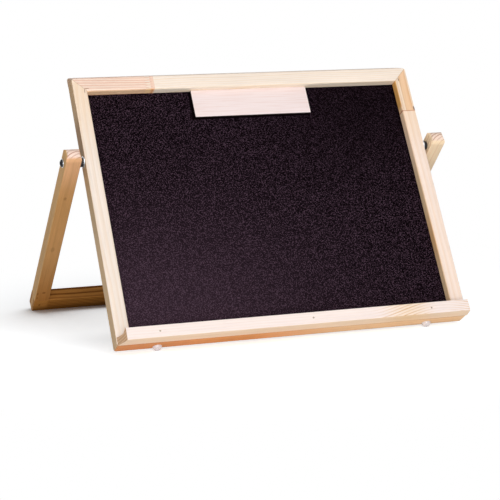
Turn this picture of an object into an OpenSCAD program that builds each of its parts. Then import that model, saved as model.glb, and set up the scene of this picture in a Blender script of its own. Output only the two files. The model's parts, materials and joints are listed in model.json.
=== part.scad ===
// Tabletop easel for children: a chalkboard in a mitred pine frame, leaning on a U-shaped stand
// that turns on two bolts. Millimetres, +X along the board, +Y to the back, +Z up. The origin is on
// the table, at the middle of the easel's footprint.

/* [Frame] */
// Width of the board, outside the frame
board_w = 500; // [360:1:900]
// Height of the board, along its face
board_h = 389; // [330:1:700]
// Face width of the frame stock
stock_w = 20; // [18:0.5:40]
// Depth of the frame stock, front to back
stock_d = 22; // [20:0.5:40]
// How far the board leans back from upright, in degrees
lean = 31; // [20:1:45]
// Radius at the board's four outer corners
corner_r = 4; // [1:0.5:8]
// Rounding of the frame's outer long edges and inner back edge
frame_arris = 1.2; // [0.4:0.1:2]
// Rounding of the frame's inner front edge
sight_arris = 2.4; // [0.4:0.1:4]

/* [Chalkboard panel] */
// Thickness of the panel
panel_t = 3; // [2:0.5:5]
// Depth of the panel's face below the frame's face
panel_recess = 12; // [6:0.5:14]
// Depth of the groove that holds the panel
groove_depth = 5.5; // [4:0.5:8]
// Room between the panel's edge and the bottom of its groove
panel_play = 0.5; // [0.2:0.1:1.5]

/* [Finger joints] */
// Length of the fingers along the grain
finger_len = 10; // [6:1:15]
// Distance from one finger to the next
finger_pitch = 4; // [3:0.5:6]
// Width of a finger's blunt tip
finger_tip = 0.6; // [0.3:0.1:1]
// Start of the top rail's joint, from the board's left side
rail_joint_at = 103; // [40:1:150]
// Start of the right stile's joint, from the board's bottom edge
stile_joint_at = 320; // [285:1:340]
// Width of the chip that has broken off the right stile's outermost finger
chip_w = 3; // [1:0.5:6]

/* [Corner wedges] */
// Length of one arm of a V-shaped corner wedge
wedge_arm = 4.5; // [3:0.5:6]
// Sheet thickness of a wedge
wedge_t = 0.6; // [0.4:0.1:1]
// How deep a wedge is driven in from the back
wedge_depth = 6; // [4:0.5:7]
// Distance of the first wedge from the board's outer edges
wedge_in = 4.5; // [4:0.5:6]
// Step from the first wedge to the second
wedge_step = 6; // [5.5:0.5:8]

/* [Chalk tray] */
// Height of the tray at its front lip
tray_h = 16.7; // [14:0.1:30]
// Depth of the tray, front to back
tray_d = 20; // [16:0.5:40]
// Height of the tray's floor
tray_floor = 11.5; // [8:0.5:12]
// Width of the lip's flat top
lip_top = 1.4; // [1:0.1:3]
// Depth taken by the slope behind the lip
lip_slope = 4.2; // [2:0.1:6]
// Hollow of the tray's floor, for a stick of chalk
tray_hollow = 0.8; // [0.3:0.1:2]
// Rounding of the tray's front edges
tray_arris = 1.2; // [0.4:0.1:2]
// How far the left end is cut back at the front
end_cut_left = 8.5; // [0:0.5:12]
// How far the right end is cut back at the front
end_cut_right = 3.2; // [0:0.1:12]
// Distance of the tray's ends from the sides of the board
tray_inset = 1; // [0:0.5:10]

/* [Tray nails] */
// Shank diameter of a nail
nail_d = 1.6; // [1:0.1:2.5]
// Head diameter of a nail
nail_head_d = 2.6; // [2:0.1:4]
// Head thickness of a nail
nail_head_t = 0.8; // [0.4:0.1:1.5]
// Length of a nail under its head
nail_len = 32; // [26:1:38]
// Height of the nails on the tray's front
nail_up = 8.5; // [5:0.5:10]
// Place of the left nail, from the board's left side
nail_left = 54; // [25:1:120]
// Place of the middle nail, to the right of the board's middle
nail_mid = 16; // [0:1:40]
// Place of the right nail, from the board's right side
nail_right = 61; // [25:1:120]

/* [Plaque] */
// Width of the bare plywood plaque
plaque_w = 172; // [80:1:240]
// Height of the plaque
plaque_h = 41.5; // [20:0.5:80]
// Thickness of the plaque
plaque_t = 3.5; // [2:0.5:6]
// Distance of the plaque's middle to the right of the board's middle
plaque_off = 5.5; // [0:0.5:30]

/* [Rubber feet] */
// Radius of a foot where it is stuck on
foot_r = 6.5; // [4:0.5:9]
// Height of a foot
foot_h = 6; // [4:0.5:6]
// Distance of a foot's middle from the side of the board
foot_in = 57; // [30:1:120]
// Distance of a foot's middle from the back of the frame
foot_back = 6.5; // [5:0.5:10]

/* [Stand] */
// Width of a leg, across the easel
leg_w = 21.5; // [18:0.5:40]
// Depth of a leg and of the cross bar, front to back
leg_d = 21; // [18:0.5:40]
// Length of a leg below its pivot
leg_len = 336; // [315:1:700]
// Length of a leg above its pivot
leg_over = 22; // [13:0.5:40]
// Height of the cross bar
bar_h = 31.5; // [20:0.5:40]
// How much shorter the foot's front is: its lower edge is planed level with the table
foot_flat = 8; // [3:0.5:12]
// Thickness of the tongue at the foot of a leg
tongue_t = 7.5; // [5:0.5:9]
// Rounding of the stand's long edges
leg_arris = 1.2; // [0.4:0.1:2]
// Rounding of the leg's two top corners, seen from the front
top_corner_r = 6; // [1:0.5:8]
// Rounding of the stand's two outer bottom corners
bottom_corner_r = 4; // [1:0.5:10]

/* [Pivots] */
// Height of the pivots, along the board from its bottom edge
pivot_up = 266.5; // [240:0.5:280]
// Distance of the pivots in front of the board's back
pivot_in = 13.3; // [9:0.1:14]
// Diameter of a bolt
bolt_d = 6; // [4:1:8]
// How deep a bolt goes into the frame
bolt_bite = 10; // [6:1:11]
// Diameter of a bolt's button head
head_d = 10.5; // [9:0.5:14]
// Height of a bolt's button head
head_h = 3.3; // [2.5:0.1:5]
// Height of the straight rim below the dome of the head
head_rim = 0.8; // [0.4:0.1:1.5]
// Size of the hexagon socket, across its corners
socket_d = 4.6; // [3:0.1:6]
// Depth of the hexagon socket
socket_depth = 2; // [1:0.1:2.2]
// Diameter of the small washer under a bolt's head
head_washer_d = 12.5; // [11:0.5:18]
// Thickness of the small washer
head_washer_t = 1.4; // [1:0.1:3]
// Diameter of the wide washer against the frame
wide_washer_d = 16; // [14:0.5:22]
// Thickness of the wide washer
wide_washer_t = 1.6; // [1:0.1:3]
// Diameter of the friction spacer between washer and leg
spacer_d = 13; // [10:0.5:18]
// Thickness of the friction spacer
spacer_t = 5.1; // [2:0.1:10]
// Diameter of the threaded insert
insert_d = 9; // [8.5:0.5:10]
// Length of the threaded insert
insert_len = 12; // [11:0.5:12.5]
// How far the insert's barbs stand out
barb_rise = 0.5; // [0.3:0.1:0.8]
// Free play round a washer's bore
washer_play = 0.2; // [0.1:0.1:0.5]
// Running play of a leg on its bolt, all round
pivot_play = 0.05; // [0.02:0.01:0.1]
// Running play at each side of a leg
side_play = 0.1; // [0.05:0.05:0.3]

/* [Hidden] */
$fn = 64;
eps = 0.01;
far = 2 * (board_w + board_h);

pine = "#EFD9B8";
heart_pine = "#E3B78F";
stand_pine = "#C49A6C";

// Board axes: x along the board, y to its back (the frame lies between -stock_d and 0), z up its face.
panel_front = panel_recess - stock_d;
panel_back = panel_front + panel_t;
sight_w = board_w - 2 * stock_w;
sight_h = board_h - 2 * stock_w;

// The board's top is cut level as it leans, so the top rail is higher at its back by this much.
top_rise = stock_d * tan(lean);

// A foot is the cap of a ball; the easel is lifted until the balls touch the table.
foot_ball = (foot_r * foot_r + foot_h * foot_h) / (2 * foot_h);
foot_sunk = foot_ball - foot_h;
lift = foot_ball - foot_sunk * cos(lean) - foot_back * sin(lean);

// The pivots in the easel's own frame, before it is centred front to back.
pivot_y = pivot_up * sin(lean) - pivot_in * cos(lean);
pivot_z = pivot_up * cos(lean) + pivot_in * sin(lean) + lift;

// The stand opens until the front edge of its planed foot touches the table.
edge_down = leg_len - foot_flat;
edge_out = leg_d / 2;
spread = atan2(edge_out, edge_down) + acos(pivot_z / norm([edge_down, edge_out]));

// The footprint runs from the tray's front edge to the rounded back edge of the cross bar.
front_y = -(stock_d + tray_d - tray_arris) * cos(lean) + tray_arris * sin(lean) - tray_arris;
back_y = pivot_y + (leg_len - leg_arris) * sin(spread) + (edge_out - leg_arris) * cos(spread)
       + leg_arris;
centre_y = (front_y + back_y) / 2;

// What sits on a bolt, from the side of the board outwards.
side_x = board_w / 2;
leg_in_x = side_x + wide_washer_t + spacer_t + side_play;
leg_out_x = leg_in_x + leg_w;
head_x = leg_out_x + side_play + head_washer_t;
washer_bore = bolt_d + 2 * washer_play;

// ---- Placing ----

module on_board() {
    translate([0, -centre_y, lift]) rotate([-lean, 0, 0]) children();
}

module on_stand() {
    translate([0, pivot_y - centre_y, pivot_z]) rotate([spread, 0, 0]) children();
}

// On the axis of each pivot, with z pointing out of the board; z = 0 is at the board's middle.
module at_both_pivots() {
    on_board() for (side = [0, 1]) mirror([side, 0, 0])
        translate([0, -pivot_in, pivot_up]) rotate([0, 90, 0]) children();
}

// ---- Shapes used more than once ----

// What rounding takes off a corner; the corner is at the origin, one side of the stock along +x and
// the other at an angle to it.
module corner_waste(r, angle = 90) {
    half = angle / 2;
    reach = r / tan(half);
    middle = [cos(half), sin(half)];
    centre = r / sin(half) * middle;
    if (r > 0) difference() {
        polygon([
            -eps / sin(half) * middle, [reach, -eps], centre,
            reach * [cos(angle), sin(angle)] + eps * [-sin(angle), cos(angle)]
        ]);
        translate(centre) circle(r);
    }
}

// A rectangle from the origin with its own rounding at each corner, in the order of the quadrants'
// corners: low left, low right, high right, high left.
module rounded_rect(w, h, radii) {
    difference() {
        square([w, h]);
        corner_waste(radii[0]);
        translate([w, 0]) mirror([1, 0]) corner_waste(radii[1]);
        translate([w, h]) rotate(180) corner_waste(radii[2]);
        translate([0, h]) mirror([0, 1]) corner_waste(radii[3]);
    }
}

// Frame stock along +x: y runs to the back and z away from the sight opening, from z = 0 at the
// opening. The outer side climbs by `rise` to the back. The panel's groove opens to the opening.
module frame_stock(length, rise) {
    slope = atan2(rise, stock_d);
    rotate([90, 0, 90]) linear_extrude(length, center = true)
        translate([-stock_d, 0]) difference() {
            polygon([[0, 0], [stock_d, 0], [stock_d, stock_w + rise], [0, stock_w]]);
            corner_waste(sight_arris);
            translate([stock_d, 0]) rotate(90) corner_waste(frame_arris);
            translate([stock_d, stock_w + rise]) rotate(180 + slope)
                corner_waste(frame_arris, 90 - slope);
            translate([0, stock_w]) rotate(-90) corner_waste(frame_arris, 90 + slope);
            translate([stock_d + panel_front, -eps]) square([panel_t, groove_depth + eps]);
        }
}

// One mitred side of the frame, lying as a top rail above the board's middle. What rises above the
// mitres keeps the full length.
module mitred_side(length, rise = 0) {
    half = length / 2;
    intersection() {
        translate([0, 0, -stock_w]) frame_stock(length, rise);
        rotate([90, 0, 0]) linear_extrude(2 * stock_d + 2 * eps, center = true) polygon([
            [-half, rise + eps], [-half, 0], [-half + stock_w, -stock_w],
            [half - stock_w, -stock_w], [half, 0], [half, rise + eps]
        ]);
    }
}

// The board's outline, for rounding its four corners: the lower two square to its face and the upper
// two along its level top.
module board_outline() {
    intersection() {
        rotate([90, 0, 0]) linear_extrude(2 * stock_d + 2 * eps, center = true)
            translate([-board_w / 2, 0])
                rounded_rect(board_w, board_h + far, [corner_r, corner_r, 0, 0]);
        translate([0, -stock_d, board_h]) rotate([90 + lean, 0, 0])
            linear_extrude(far, center = true) translate([-board_w / 2, -far])
                rounded_rect(board_w, far, [0, 0, corner_r, corner_r]);
    }
}

// A V-shaped wedge seen from the back, its point at the origin and its arms along +x and +y.
module wedge_plan() {
    difference() {
        square(wedge_arm);
        translate([wedge_t, wedge_t]) square(wedge_arm);
    }
}

module corner_wedge_set() {
    for (right = [0, 1], top = [0, 1], k = [0, 1]) {
        reach = wedge_in + k * wedge_step;
        corner_x = (right == 1 ? 1 : -1) * board_w / 2;
        corner_z = top == 1 ? board_h : 0;
        translate([corner_x, 0, corner_z]) mirror([right, 0, 0]) mirror([0, 0, top])
            rotate([90, 0, 0]) linear_extrude(wedge_depth)
                translate([reach, reach]) wedge_plan();
    }
}

// Everything to the left of a row of fingers that point to +x; the row starts at the origin and
// stands in +y, with the root of a finger on the edge.
module finger_side(width) {
    count = ceil(width / finger_pitch) + 1;
    half_tip = finger_tip / 2;
    half_pitch = finger_pitch / 2;
    fingers = [
        for (k = [-1 : count]) let (root = k * finger_pitch) each [
            [0, root - half_tip],
            [0, root + half_tip],
            [finger_len, root + half_pitch - half_tip],
            [finger_len, root + half_pitch + half_tip]
        ]
    ];
    polygon(concat([[-far, -2 * finger_pitch]], fingers, [[-far, width + 2 * finger_pitch]]));
}

// A bored disc along +z from the origin.
module washer(outer_d, bore_d, t) {
    difference() {
        cylinder(h = t, d = outer_d);
        translate([0, 0, -eps]) cylinder(h = t + 2 * eps, d = bore_d);
    }
}

// ---- Frame ----

module whole_top_rail() {
    intersection() {
        translate([0, 0, board_h]) mitred_side(board_w, top_rise);
        board_outline();
    }
}

// The fingers keep their places on the front, and whole ones are added for the higher back.
module top_rail_fingers() {
    added = ceil(top_rise / finger_pitch) * finger_pitch;
    translate([-board_w / 2 + rail_joint_at, eps, board_h + added]) rotate([90, 0, 0])
        linear_extrude(stock_d + 2 * eps) mirror([0, 1]) finger_side(stock_w + added);
}

module top_rail() {
    color(pine) on_board() difference() {
        whole_top_rail();
        top_rail_fingers();
        corner_wedge_set();
    }
}

module top_rail_end() {
    color(heart_pine) on_board() difference() {
        intersection() {
            whole_top_rail();
            top_rail_fingers();
        }
        corner_wedge_set();
    }
}

module bottom_rail() {
    color(pine) on_board() difference() {
        intersection() {
            mirror([0, 0, 1]) mitred_side(board_w);
            board_outline();
        }
        corner_wedge_set();
        tray_nail_set(0);
    }
}

module whole_right_stile() {
    intersection() {
        translate([board_w / 2, 0, board_h / 2]) rotate([0, 90, 0]) mitred_side(board_h);
        board_outline();
    }
}

module insert_hole() {
    translate([0, -pivot_in, pivot_up]) rotate([0, 90, 0])
        translate([0, 0, side_x - insert_len]) cylinder(h = insert_len + eps, d = insert_d);
}

module left_stile() {
    color(pine) on_board() difference() {
        mirror([1, 0, 0]) whole_right_stile();
        corner_wedge_set();
        mirror([1, 0, 0]) insert_hole();
    }
}

// Everything below the right stile's joint. Its fingers lie flat, one behind the other: they show on
// the stile's sides, and the front has a straight line where the end piece's first finger stops.
module right_stile_fingers() {
    translate([board_w / 2 + eps, -stock_d, stile_joint_at]) rotate([0, -90, 0])
        linear_extrude(stock_w + 2 * eps) finger_side(stock_d);
}

// The corner that has broken off the end piece's first finger, at the front outer edge.
module finger_chip() {
    first_finger_t = finger_pitch / 2;
    translate([board_w / 2, first_finger_t - stock_d, stile_joint_at]) rotate([90, 0, 0])
        linear_extrude(first_finger_t + eps) polygon([[eps, -eps], [eps, finger_len], [-chip_w, -eps]]);
}

module right_stile() {
    color(pine) on_board() difference() {
        intersection() {
            whole_right_stile();
            right_stile_fingers();
        }
        corner_wedge_set();
        insert_hole();
    }
}

module right_stile_end() {
    color(heart_pine) on_board() difference() {
        whole_right_stile();
        right_stile_fingers();
        corner_wedge_set();
        finger_chip();
    }
}

module corner_wedges() {
    color("silver") on_board() corner_wedge_set();
}

// ---- Panel and plaque ----

module chalk_panel() {
    edge = groove_depth - panel_play;
    color("#2B2026") on_board()
        translate([-sight_w / 2 - edge, panel_front, stock_w - edge])
            cube([sight_w + 2 * edge, panel_t, sight_h + 2 * edge]);
}

module plaque() {
    color("#F2E2D2") on_board()
        translate([plaque_off - plaque_w / 2, panel_front - plaque_t, board_h - stock_w - plaque_h])
            cube([plaque_w, plaque_t, plaque_h]);
}

// ---- Tray ----

// The tray's section: x forward from the frame, y up. The floor is a shallow hollow.
module tray_section() {
    slope_foot = tray_d - lip_top - lip_slope;
    hollow_r = (slope_foot * slope_foot / 4 + tray_hollow * tray_hollow) / (2 * tray_hollow);
    difference() {
        square([tray_d, tray_h]);
        polygon([
            [-eps, tray_floor], [slope_foot, tray_floor], [tray_d - lip_top, tray_h],
            [tray_d - lip_top, tray_h + eps], [-eps, tray_h + eps]
        ]);
        intersection() {
            translate([slope_foot / 2, tray_floor - tray_hollow + hollow_r]) circle(hollow_r, $fn = 256);
            square([slope_foot, tray_h]);
        }
        translate([tray_d, 0]) mirror([1, 0]) corner_waste(tray_arris);
        translate([tray_d, tray_h]) rotate(180) corner_waste(lip_top / 2);
    }
}

// The tray seen from above: its ends are cut back towards the front.
module tray_plan() {
    left = -board_w / 2 + tray_inset;
    right = board_w / 2 - tray_inset;
    polygon([
        [left, -stock_d], [right, -stock_d],
        [right - end_cut_right, -stock_d - tray_d], [left + end_cut_left, -stock_d - tray_d]
    ]);
}

module chalk_tray() {
    color(pine) on_board() difference() {
        intersection() {
            translate([0, -stock_d, 0]) rotate([90, 0, -90])
                linear_extrude(board_w, center = true) tray_section();
            translate([0, 0, -eps]) linear_extrude(tray_h + 2 * eps) tray_plan();
        }
        tray_nail_set(eps);
    }
}

// The three nails, driven flush with the tray's front; `over` lengthens the heads for cutting.
module tray_nail_set(over) {
    for (x = [-board_w / 2 + nail_left, nail_mid, board_w / 2 - nail_right])
        translate([x, -stock_d - tray_d, nail_up]) rotate([-90, 0, 0]) {
            translate([0, 0, -over]) cylinder(h = nail_head_t + over, d = nail_head_d);
            cylinder(h = nail_head_t + nail_len, d = nail_d);
        }
}

module tray_nails() {
    color("dimgray") on_board() tray_nail_set(0);
}

// ---- Feet ----

module rubber_feet() {
    color("gainsboro", 0.6) on_board() for (side = [-1, 1])
        translate([side * (board_w / 2 - foot_in), -foot_back, 0]) intersection() {
            translate([0, 0, foot_sunk]) sphere(foot_ball);
            translate([0, 0, -foot_h - eps]) cylinder(h = foot_h + eps, r = foot_r + eps);
        }
}

// ---- Pivot hardware ----

module threaded_inserts() {
    barb_d = insert_d - 2 * barb_rise;
    barbs = 3;
    barb_len = insert_len / (barbs + 1);
    color("darkgoldenrod") at_both_pivots() translate([0, 0, side_x - insert_len]) difference() {
        union() {
            translate([0, 0, insert_len - barb_len]) cylinder(h = barb_len, d = insert_d);
            for (k = [0 : barbs - 1])
                translate([0, 0, k * barb_len]) cylinder(h = barb_len, d1 = barb_d, d2 = insert_d);
        }
        translate([0, 0, -eps]) cylinder(h = insert_len + 2 * eps, d = bolt_d);
    }
}

module wide_washers() {
    color("silver") at_both_pivots() translate([0, 0, side_x])
        washer(wide_washer_d, washer_bore, wide_washer_t);
}

module friction_spacers() {
    color("#2A2A2C") at_both_pivots() translate([0, 0, side_x + wide_washer_t])
        washer(spacer_d, washer_bore, spacer_t);
}

module head_washers() {
    color("silver") at_both_pivots() translate([0, 0, head_x - head_washer_t])
        washer(head_washer_d, washer_bore, head_washer_t);
}

module button_head() {
    rise = head_h - head_rim;
    dome = (head_d * head_d / 4 + rise * rise) / (2 * rise);
    intersection() {
        translate([0, 0, head_h - dome]) sphere(dome);
        cylinder(h = head_h, d = head_d);
    }
}

module pivot_bolts() {
    color("#26262A") at_both_pivots() difference() {
        union() {
            translate([0, 0, side_x - bolt_bite]) cylinder(h = head_x - side_x + bolt_bite, d = bolt_d);
            translate([0, 0, head_x]) button_head();
        }
        translate([0, 0, head_x + head_h - socket_depth])
            cylinder(h = socket_depth + eps, d = socket_d, $fn = 6);
    }
}

// ---- Stand ----

// Stock of the stand along +z from the origin, with its long edges rounded.
module leg_stock(length) {
    radii = [leg_arris, leg_arris, leg_arris, leg_arris];
    linear_extrude(length) translate([0, -leg_d / 2]) rounded_rect(leg_w, leg_d, radii);
}

// The leg seen from the side: its top is a half circle.
module leg_side_view() {
    r = leg_d / 2;
    translate([-r, -leg_len]) square([leg_d, leg_len + leg_over - r]);
    translate([0, leg_over - r]) circle(r);
}

// Everything below the table, in the stand's frame: what is planed off the feet.
module below_table() {
    rotate([-spread, 0, 0]) translate([-far / 2, -far / 2, -pivot_z - far]) cube(far);
}

// The leg and the end of the cross bar seen from the front, with their rounded corners.
module leg_front_view() {
    translate([0, -leg_len])
        rounded_rect(leg_w, leg_len + leg_over, [0, bottom_corner_r, top_corner_r, top_corner_r]);
}

// The right leg, in the stand's frame. Its tongue fills the open mortise of the cross bar.
module right_leg_solid() {
    shoulder = leg_len - bar_h;
    translate([leg_in_x, 0, 0]) difference() {
        intersection() {
            union() {
                translate([0, 0, -shoulder]) leg_stock(shoulder + leg_over);
                translate([0, -tongue_t / 2, -leg_len]) cube([leg_w, tongue_t, bar_h + eps]);
            }
            rotate([90, 0, 90]) translate([0, 0, -eps]) linear_extrude(leg_w + 2 * eps) leg_side_view();
            rotate([90, 0, 0]) linear_extrude(leg_d + 2 * eps, center = true) leg_front_view();
        }
        rotate([0, 90, 0]) translate([0, 0, -eps])
            cylinder(h = leg_w + 2 * eps, d = bolt_d + 2 * pivot_play);
        below_table();
    }
}

module right_leg() {
    color(stand_pine) on_stand() right_leg_solid();
}

module left_leg() {
    color(stand_pine) on_stand() mirror([1, 0, 0]) right_leg_solid();
}

module cross_bar() {
    length = 2 * leg_out_x;
    radii = [leg_arris, leg_arris, leg_arris, leg_arris];
    corners = [bottom_corner_r, bottom_corner_r, 0, 0];
    color(stand_pine) on_stand() difference() {
        translate([0, 0, -leg_len]) difference() {
            intersection() {
                rotate([90, 0, 90]) linear_extrude(length, center = true)
                    translate([-leg_d / 2, 0]) rounded_rect(leg_d, bar_h, radii);
                rotate([90, 0, 0]) linear_extrude(leg_d + 2 * eps, center = true)
                    translate([-leg_out_x, 0]) rounded_rect(length, bar_h, corners);
            }
            for (side = [0, 1]) mirror([side, 0, 0]) translate([leg_in_x, -tongue_t / 2, -eps])
                cube([leg_w + eps, tongue_t, bar_h + 2 * eps]);
        }
        below_table();
    }
}

top_rail();
top_rail_end();
bottom_rail();
left_stile();
right_stile();
right_stile_end();
corner_wedges();
chalk_panel();
chalk_tray();
tray_nails();
plaque();
rubber_feet();
threaded_inserts();
wide_washers();
friction_spacers();
head_washers();
pivot_bolts();
left_leg();
right_leg();
cross_bar();
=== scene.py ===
"""Looks of a child's tabletop easel: a chalkboard in a mitred pine frame with a chalk tray and a
bare plywood plaque, leaning on a U-shaped pine stand that turns on two bolts.

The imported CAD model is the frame. Its wooden parts keep their meshes and get grown-timber finishes;
the small turned parts, the feet and the plaque are built here, with the edges of the real ones.
"""
import json
import logging
import math
from dataclasses import dataclass, field
from enum import Enum
from typing import Iterable, Sequence, Union

import bmesh
import bpy
from mathutils import Matrix, Vector


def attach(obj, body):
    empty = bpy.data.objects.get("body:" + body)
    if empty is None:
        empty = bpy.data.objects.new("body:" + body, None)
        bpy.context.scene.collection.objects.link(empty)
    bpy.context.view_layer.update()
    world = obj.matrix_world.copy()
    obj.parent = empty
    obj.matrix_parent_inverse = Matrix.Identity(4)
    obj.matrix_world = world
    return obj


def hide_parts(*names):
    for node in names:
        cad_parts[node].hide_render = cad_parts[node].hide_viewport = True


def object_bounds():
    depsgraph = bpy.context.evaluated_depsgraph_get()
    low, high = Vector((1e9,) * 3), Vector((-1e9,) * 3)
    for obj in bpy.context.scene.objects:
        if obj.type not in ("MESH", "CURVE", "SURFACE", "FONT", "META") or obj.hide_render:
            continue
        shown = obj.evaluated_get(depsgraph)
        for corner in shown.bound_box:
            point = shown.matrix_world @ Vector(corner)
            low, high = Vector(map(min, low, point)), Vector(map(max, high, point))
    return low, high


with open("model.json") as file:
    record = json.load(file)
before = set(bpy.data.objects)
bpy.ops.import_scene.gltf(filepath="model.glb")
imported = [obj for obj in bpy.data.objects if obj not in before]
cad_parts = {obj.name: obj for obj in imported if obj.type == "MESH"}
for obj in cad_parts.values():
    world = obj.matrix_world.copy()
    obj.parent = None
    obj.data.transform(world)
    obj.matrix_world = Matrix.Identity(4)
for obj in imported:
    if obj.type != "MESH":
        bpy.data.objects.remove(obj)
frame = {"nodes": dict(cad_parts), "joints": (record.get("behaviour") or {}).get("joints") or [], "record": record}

CAD_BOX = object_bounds()
MM = 1000.0
X_AXIS = Vector((1.0, 0.0, 0.0))
Y_AXIS = Vector((0.0, 1.0, 0.0))
Z_AXIS = Vector((0.0, 0.0, 1.0))
WHITE = (1.0, 1.0, 1.0, 1.0)

log = logging.getLogger("easel")


class Slot(Enum):
    """The record's material slots for the new pieces."""

    PLYWOOD = "plywood"
    ZINC_STEEL = "zinc_steel"
    NAIL_STEEL = "nail_steel"
    BLACK_STEEL = "black_steel"
    BLACK_RUBBER = "black_rubber"
    CLEAR_RUBBER = "clear_rubber"


class Axis(Enum):
    """The three directions in a piece of timber."""

    ALONG = 0
    ACROSS = 1
    OUT = 2


StockFace = tuple[Axis, int]

# The faces of the stock: a rail's underside or a stile's left side, their opposites, and the front.
LOW_SIDE: StockFace = (Axis.ACROSS, -1)
HIGH_SIDE: StockFace = (Axis.ACROSS, 1)
FRONT: StockFace = (Axis.OUT, 1)


def linear(tone: str) -> tuple[float, float, float, float]:
    """Turns a display colour into the linear colour that shaders work in.

    Args:
        tone: The colour as six hexadecimal digits.

    Returns:
        Red, green, blue and an alpha of 1.
    """
    shares = [int(tone[i:i + 2], 16) / 255 for i in (0, 2, 4)]
    return (*[s / 12.92 if s <= 0.04045 else ((s + 0.055) / 1.055) ** 2.4 for s in shares], 1.0)


# ---- Shader maths ----

Operand = Union["Sock", float, Vector]


class Sock:
    """A node's output socket, with the arithmetic of shader maths."""

    def __init__(self, shader: "Shader", socket: bpy.types.NodeSocket) -> None:
        """Keeps the socket and the shader that it belongs to."""
        self.shader = shader
        self.socket = socket

    @property
    def is_vector(self) -> bool:
        """Says whether the socket carries a vector and not a number."""
        return self.socket.type == "VECTOR"

    def _math(self, operation: str, first: Operand, second: Operand) -> "Sock":
        """Adds the node of one sum, on vectors where either side is one.

        Args:
            operation: The name of the operation.
            first: What stands before the sign.
            second: What stands after the sign.

        Returns:
            The result.
        """
        sides = [first, second]
        vector = any(isinstance(s, Vector) or isinstance(s, Sock) and s.is_vector for s in sides)
        kind = "ShaderNodeVectorMath" if vector else "ShaderNodeMath"
        if vector:
            sides = [Vector((s, s, s)) if isinstance(s, (int, float)) else s for s in sides]
        return self.shader.node(kind, {"operation": operation}, {0: sides[0], 1: sides[1]})

    def __add__(self, other: Operand) -> "Sock":
        """Adds."""
        return self._math("ADD", self, other)

    def __radd__(self, other: Operand) -> "Sock":
        """Adds, with the socket on the right."""
        return self._math("ADD", other, self)

    def __sub__(self, other: Operand) -> "Sock":
        """Subtracts."""
        return self._math("SUBTRACT", self, other)

    def __rsub__(self, other: Operand) -> "Sock":
        """Subtracts the socket from what stands on its left."""
        return self._math("SUBTRACT", other, self)

    def __mul__(self, other: Operand) -> "Sock":
        """Multiplies."""
        return self._math("MULTIPLY", self, other)

    def __rmul__(self, other: Operand) -> "Sock":
        """Multiplies, with the socket on the right."""
        return self._math("MULTIPLY", other, self)

    def __truediv__(self, other: Operand) -> "Sock":
        """Divides."""
        return self._math("DIVIDE", self, other)

    def __abs__(self) -> "Sock":
        """Drops the sign."""
        return self.shader.node("ShaderNodeMath", {"operation": "ABSOLUTE"}, {0: self})

    def root(self) -> "Sock":
        """Takes the square root."""
        return self.shader.node("ShaderNodeMath", {"operation": "SQRT"}, {0: self})

    def fract(self) -> "Sock":
        """Keeps what stands after the point."""
        return self.shader.node("ShaderNodeMath", {"operation": "FRACT"}, {0: self})

    def floor(self) -> "Sock":
        """Drops what stands after the point."""
        return self.shader.node("ShaderNodeMath", {"operation": "FLOOR"}, {0: self})

    def most(self, other: Operand) -> "Sock":
        """Keeps the larger of two numbers."""
        return self._math("MAXIMUM", self, other)

    def along(self, direction: Vector) -> "Sock":
        """Measures a vector along a direction.

        Args:
            direction: The direction, and by its length the scale.

        Returns:
            The dot product.
        """
        product = {"operation": "DOT_PRODUCT"}
        return self.shader.node("ShaderNodeVectorMath", product, {0: self, 1: direction}, "Value")

    def smooth(self, low: float, high: float) -> "Sock":
        """Rises smoothly from 0 at one value to 1 at another.

        Args:
            low: The value at which the rise starts.
            high: The value at which it ends; it may be the smaller one.

        Returns:
            A number from 0 to 1.
        """
        if low > high:
            return 1 - self.smooth(high, low)
        settings = {"interpolation_type": "SMOOTHSTEP", "clamp": True}
        sockets = {"Value": self, "From Min": low, "From Max": high, "To Min": 0.0, "To Max": 1.0}
        return self.shader.node("ShaderNodeMapRange", settings, sockets)

    def within(self, low: float, high: float, soft: float) -> "Sock":
        """Is 1 between two values and fades to 0 outside them.

        Args:
            low: The lower value.
            high: The higher value.
            soft: How far the fade reaches on each side of either value.

        Returns:
            A number from 0 to 1.
        """
        return self.smooth(low - soft, low + soft) * self.smooth(high + soft, high - soft)


Value = Union[Sock, float, Sequence[float], Vector]


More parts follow.
